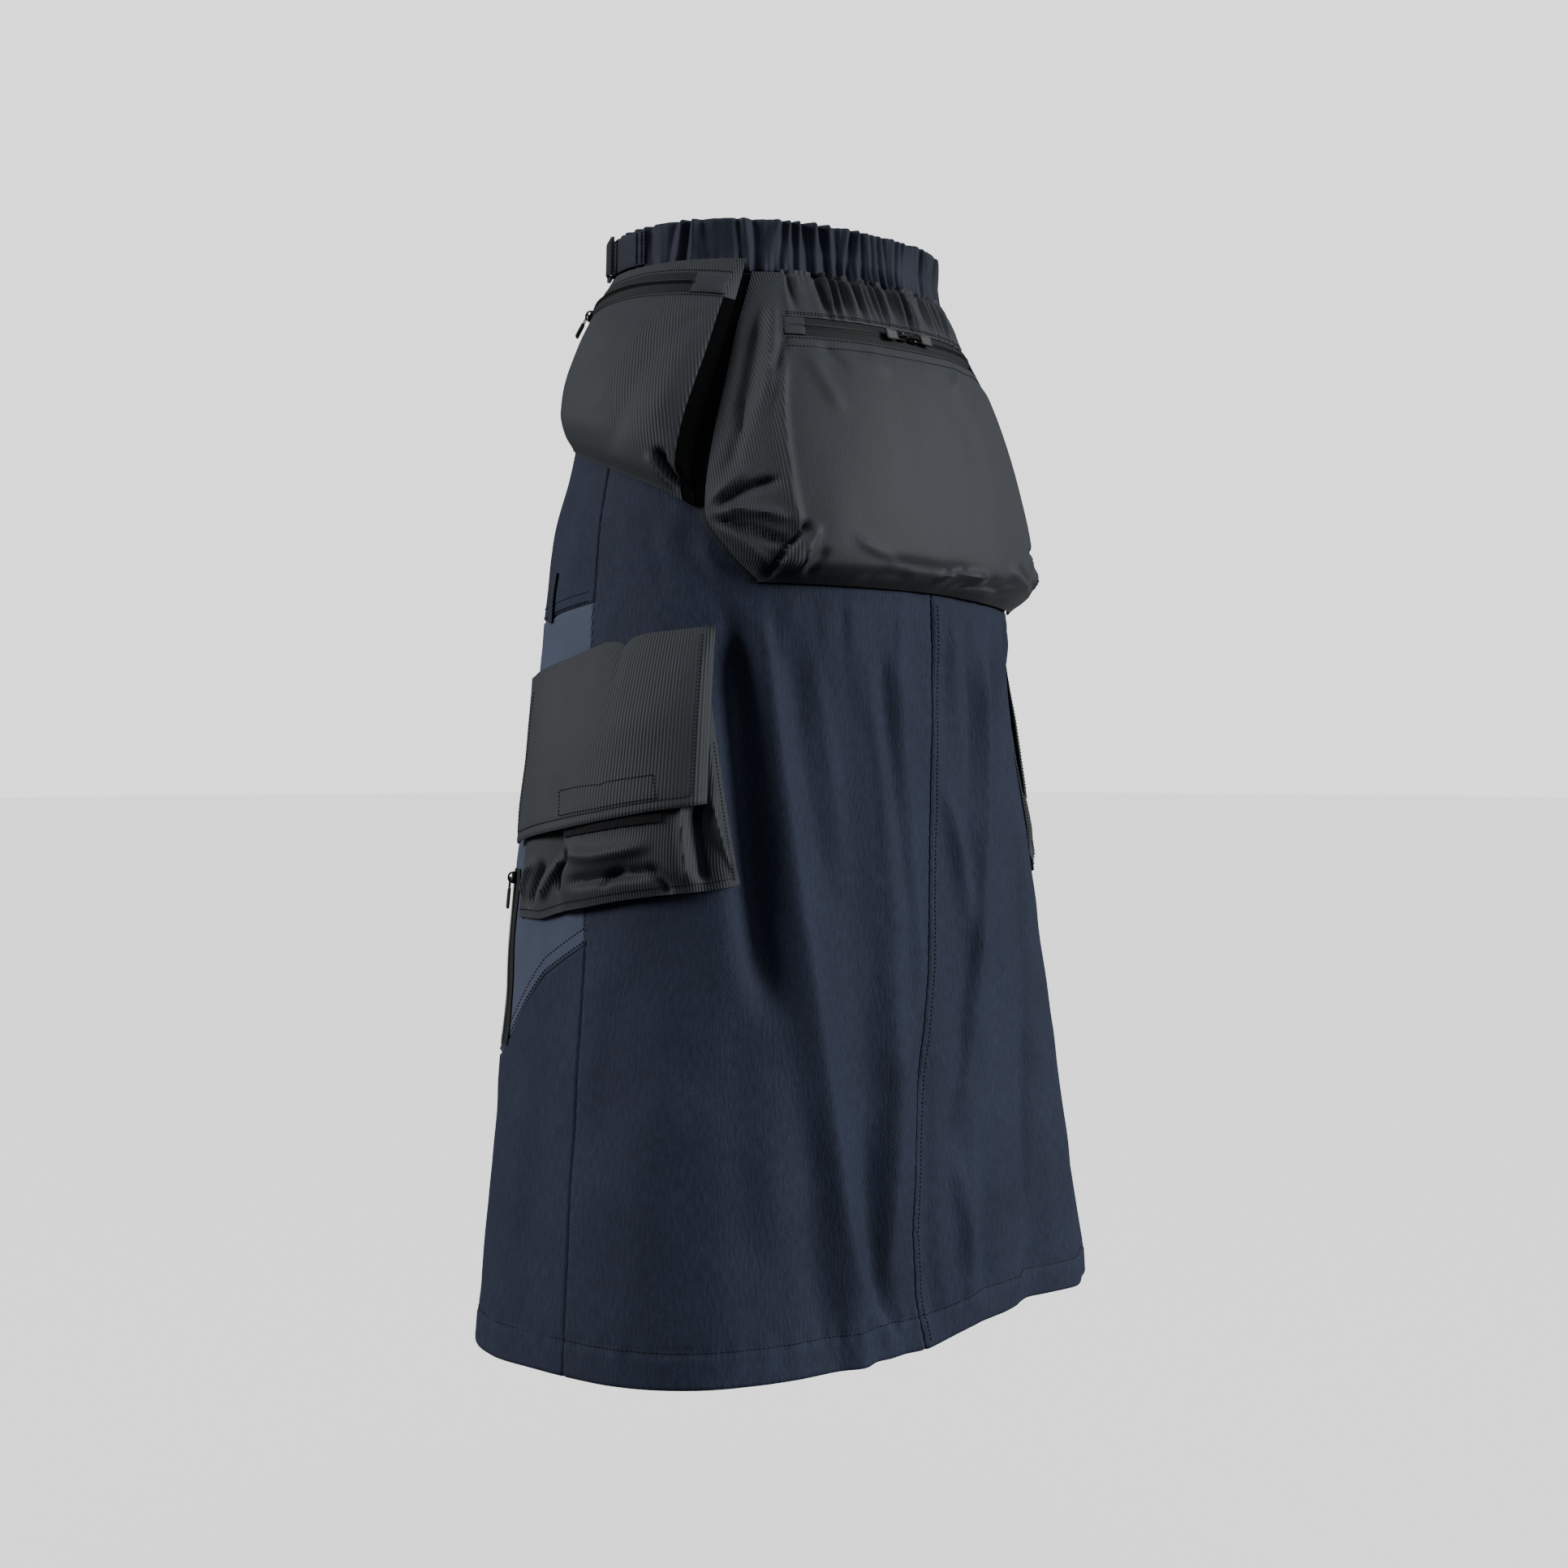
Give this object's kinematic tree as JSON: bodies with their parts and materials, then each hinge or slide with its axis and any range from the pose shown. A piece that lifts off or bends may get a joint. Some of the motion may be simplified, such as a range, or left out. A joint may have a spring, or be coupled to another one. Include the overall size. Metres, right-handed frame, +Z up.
{
  "type": "utility midi skirt",
  "caption": "Worn A-line utility skirt with a gathered elastic waistband, zipped bag pockets at back and hips, flap pockets on the side seams and short front zips.",
  "frame": {"origin": "middle of the waistband, half way down its height", "axes": "+X towards the wearer's left, +Y towards the wearer's back, +Z up"},
  "size_m": [0.5111, 0.3376, 0.807],
  "materials": {
    "navy_cloth": "navy cotton-nylon twill, matt",
    "light_navy_ripstop": "lighter navy ripstop",
    "charcoal_cloth": "charcoal ripstop",
    "zip_tape": "woven zip tape with coil teeth",
    "loop_strip": "hook-and-loop pile",
    "navy_webbing": "ribbed webbing",
    "dark_plastic": "dark moulded plastic",
    "black_rubber": "black rubber",
    "dark_metal": "dark painted metal"
  },
  "bodies": {
    "skirt": {"back_bag": "charcoal_cloth", "back_panel_left": "navy_cloth", "back_panel_right": "navy_cloth", "back_slider_left": "dark_metal", "back_slider_right": "dark_metal", "back_top_strip": "charcoal_cloth", "back_yoke": "charcoal_cloth", "back_zip": "zip_tape", "belt_buckle_left": "dark_plastic", "belt_buckle_right": "dark_plastic", "belt_webbing": "navy_webbing", "cargo_flap_left": "charcoal_cloth", "cargo_flap_right": "charcoal_cloth", "cargo_loop_left": "loop_strip", "cargo_loop_right": "loop_strip", "cargo_pocket_left": "charcoal_cloth", "cargo_pocket_right": "charcoal_cloth", "front_lower_panel": "navy_cloth", "front_mid_panel": "light_navy_ripstop", "front_slider_left": "dark_metal", "front_slider_right": "dark_metal", "front_tab_left": "navy_webbing", "front_tab_right": "navy_webbing", "front_top_panel": "navy_cloth", "front_zip_left": "zip_tape", "front_zip_right": "zip_tape", "hip_pouch_left": "charcoal_cloth", "hip_pouch_right": "charcoal_cloth", "hip_slider_left": "dark_metal", "hip_slider_right": "dark_metal", "hip_zip_left": "zip_tape", "hip_zip_right": "zip_tape", "waistband": "navy_cloth"},
    "back_pull_left_body": {"back_pull_left": "black_rubber"},
    "back_pull_right_body": {"back_pull_right": "black_rubber"},
    "hip_pull_left_body": {"hip_pull_left": "black_rubber"},
    "front_pull_left_body": {"front_pull_left": "black_rubber"},
    "hip_pull_right_body": {"hip_pull_right": "black_rubber"},
    "front_pull_right_body": {"front_pull_right": "black_rubber"}
  },
  "joints": [
    {"name": "back_pull_left_hinge", "type": "hinge", "parent": "skirt", "child": "back_pull_left_body", "pos_m": [0.00068, 0.12428, -0.0605], "axis": [0.0003, -0.3131, 0.9497], "range_deg": [0, 80]},
    {"name": "back_pull_right_hinge", "type": "hinge", "parent": "skirt", "child": "back_pull_right_body", "pos_m": [-0.01007, 0.12408, -0.0605], "axis": [-0.0089, 0.3126, -0.9499], "range_deg": [0, 80]},
    {"name": "hip_pull_left_hinge", "type": "hinge", "parent": "skirt", "child": "hip_pull_left_body", "pos_m": [0.12501, -0.08298, -0.03331], "axis": [-0.7249, -0.6859, -0.0633], "range_deg": [0, 80]},
    {"name": "front_pull_left_hinge", "type": "hinge", "parent": "skirt", "child": "front_pull_left_body", "pos_m": [0.2041, -0.07685, -0.4532], "axis": [-0.4946, -0.8691, 0], "range_deg": [0, 80]},
    {"name": "hip_pull_right_hinge", "type": "hinge", "parent": "skirt", "child": "hip_pull_right_body", "pos_m": [-0.11901, -0.08768, -0.0334], "axis": [-0.776, 0.63, 0.0292], "range_deg": [0, 80]},
    {"name": "front_pull_right_hinge", "type": "hinge", "parent": "skirt", "child": "front_pull_right_body", "pos_m": [-0.1782, -0.09858, -0.45311], "axis": [-0.6688, 0.7434, 0], "range_deg": [0, 80]}
  ]
}
